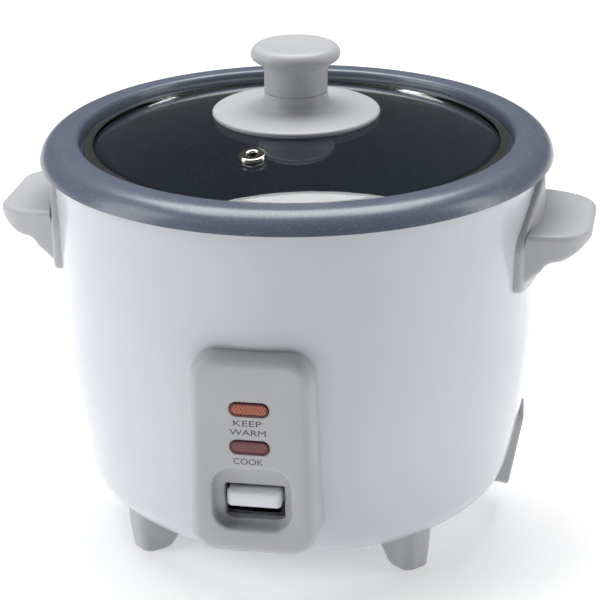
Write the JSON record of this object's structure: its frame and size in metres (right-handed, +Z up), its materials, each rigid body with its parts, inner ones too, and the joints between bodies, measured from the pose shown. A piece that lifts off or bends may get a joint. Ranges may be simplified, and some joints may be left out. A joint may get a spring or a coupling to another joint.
{
  "type": "rice cooker",
  "caption": "Drum-shaped rice cooker with a lift-out non-stick pot, domed glass lid with knob, side handles, feet and a rocking cook switch.",
  "frame": {"origin": "centre of the footprint on the surface that the feet stand on, on the drum's axis", "axes": "+Z up along the drum's axis; -Y is the front, with the control panel; +X is the right side, with the power inlet"},
  "size_m": [0.242, 0.2077, 0.202],
  "materials": {
    "white_enamel": "gloss",
    "grey_plastic": "satin",
    "white_plastic": "gloss",
    "black_plastic": "matte",
    "nonstick_pot": "satin non-stick coating",
    "clear_glass": "polished",
    "stainless_steel": "bright",
    "polished_steel": "polished",
    "aluminised_steel": "dull",
    "zinc_steel": "zinc plated",
    "spring_steel": "drawn wire",
    "cast_aluminium": "machined face",
    "ferrite": "sintered",
    "brass": "bright",
    "white_ceramic": "matte",
    "silicone": "matte",
    "wire_insulation": "matte",
    "amber_lens": "translucent",
    "red_lens": "translucent",
    "lamp_glass": "clear"
  },
  "bodies": {
    "cooker_body": {"outer_shell": "white_enamel", "inner_liner": "aluminised_steel", "base_plate": "zinc_steel", "foot_front_left": "grey_plastic", "foot_front_right": "grey_plastic", "foot_rear_left": "grey_plastic", "foot_rear_right": "grey_plastic", "foot_screws": "zinc_steel", "handle_right": "grey_plastic", "handle_left": "grey_plastic", "handle_screws": "zinc_steel", "control_panel": "grey_plastic", "panel_screws": "zinc_steel", "keep_warm_lens": "amber_lens", "cook_lens": "red_lens", "keep_warm_lamp": "lamp_glass", "cook_lamp": "lamp_glass", "heating_plate": "cast_aluminium", "heating_element": "spring_steel", "element_terminals": "brass", "terminal_beads": "white_ceramic", "plate_posts": "zinc_steel", "plate_screws": "zinc_steel", "thermostat_sleeve": "zinc_steel", "sensor_spring": "spring_steel", "lever_bracket": "zinc_steel", "pivot_pin": "zinc_steel", "switch_body": "black_plastic", "power_inlet": "grey_plastic", "inlet_pins": "brass", "inlet_clip": "spring_steel", "keep_warm_resistor": "white_ceramic", "resistor_clip": "zinc_steel", "thermal_fuse": "brass", "fuse_clip": "zinc_steel", "lead_live": "wire_insulation", "lead_neutral": "wire_insulation", "lead_switch": "wire_insulation"},
    "pot": {"inner_pot": "nonstick_pot"},
    "lid": {"lid_glass": "clear_glass", "lid_rim": "stainless_steel", "vent_eyelet": "polished_steel", "knob_base": "grey_plastic", "knob_cap": "grey_plastic", "knob_seal": "silicone", "knob_washer": "stainless_steel", "knob_screw": "zinc_steel"},
    "cook_lever": {"lever_arm": "zinc_steel", "cook_paddle": "white_plastic"},
    "magnet": {"permanent_magnet": "ferrite", "pull_rod": "zinc_steel"},
    "sensor": {"sensor_cap": "cast_aluminium", "ferrite_disc": "ferrite", "magnet_spring": "spring_steel"},
    "switch_button": {"switch_plunger": "white_plastic"}
  },
  "joints": [
    {"name": "pot_lift", "type": "slide", "parent": "cooker_body", "child": "pot", "axis": [0, 0, 1], "range_m": [0, 0.11]},
    {"name": "lid_lift", "type": "slide", "parent": "pot", "child": "lid", "axis": [0, 0, 1], "range_m": [0, 0.06]},
    {"name": "cook_lever_pivot", "type": "hinge", "parent": "cooker_body", "child": "cook_lever", "pos_m": [0, -0.045, 0.04], "axis": [1, 0, 0], "range_deg": [0, 4.2], "stiffness_Nm_per_rad": 1, "springref_deg": -6.88},
    {"name": "magnet_slide", "type": "slide", "parent": "cooker_body", "child": "magnet", "axis": [0, 0, 1], "range_m": [0, 0.0036], "deforming": ["magnet_spring"]},
    {"name": "switch_button_slide", "type": "slide", "parent": "cooker_body", "child": "switch_button", "axis": [0, 0, -1], "range_m": [0, 0.00195]},
    {"name": "sensor_cap_slide", "type": "slide", "parent": "cooker_body", "child": "sensor", "axis": [0, 0, 1], "range_m": [-0.001, 0], "stiffness_N_per_m": 500, "springref_m": 0.003, "deforming": ["sensor_spring"]}
  ],
  "couplings": [
    {"joint": "magnet_slide", "follows": "cook_lever_pivot", "m_per_rad": 0.0485},
    {"joint": "switch_button_slide", "follows": "cook_lever_pivot", "m_per_rad": 0.026}
  ]
}
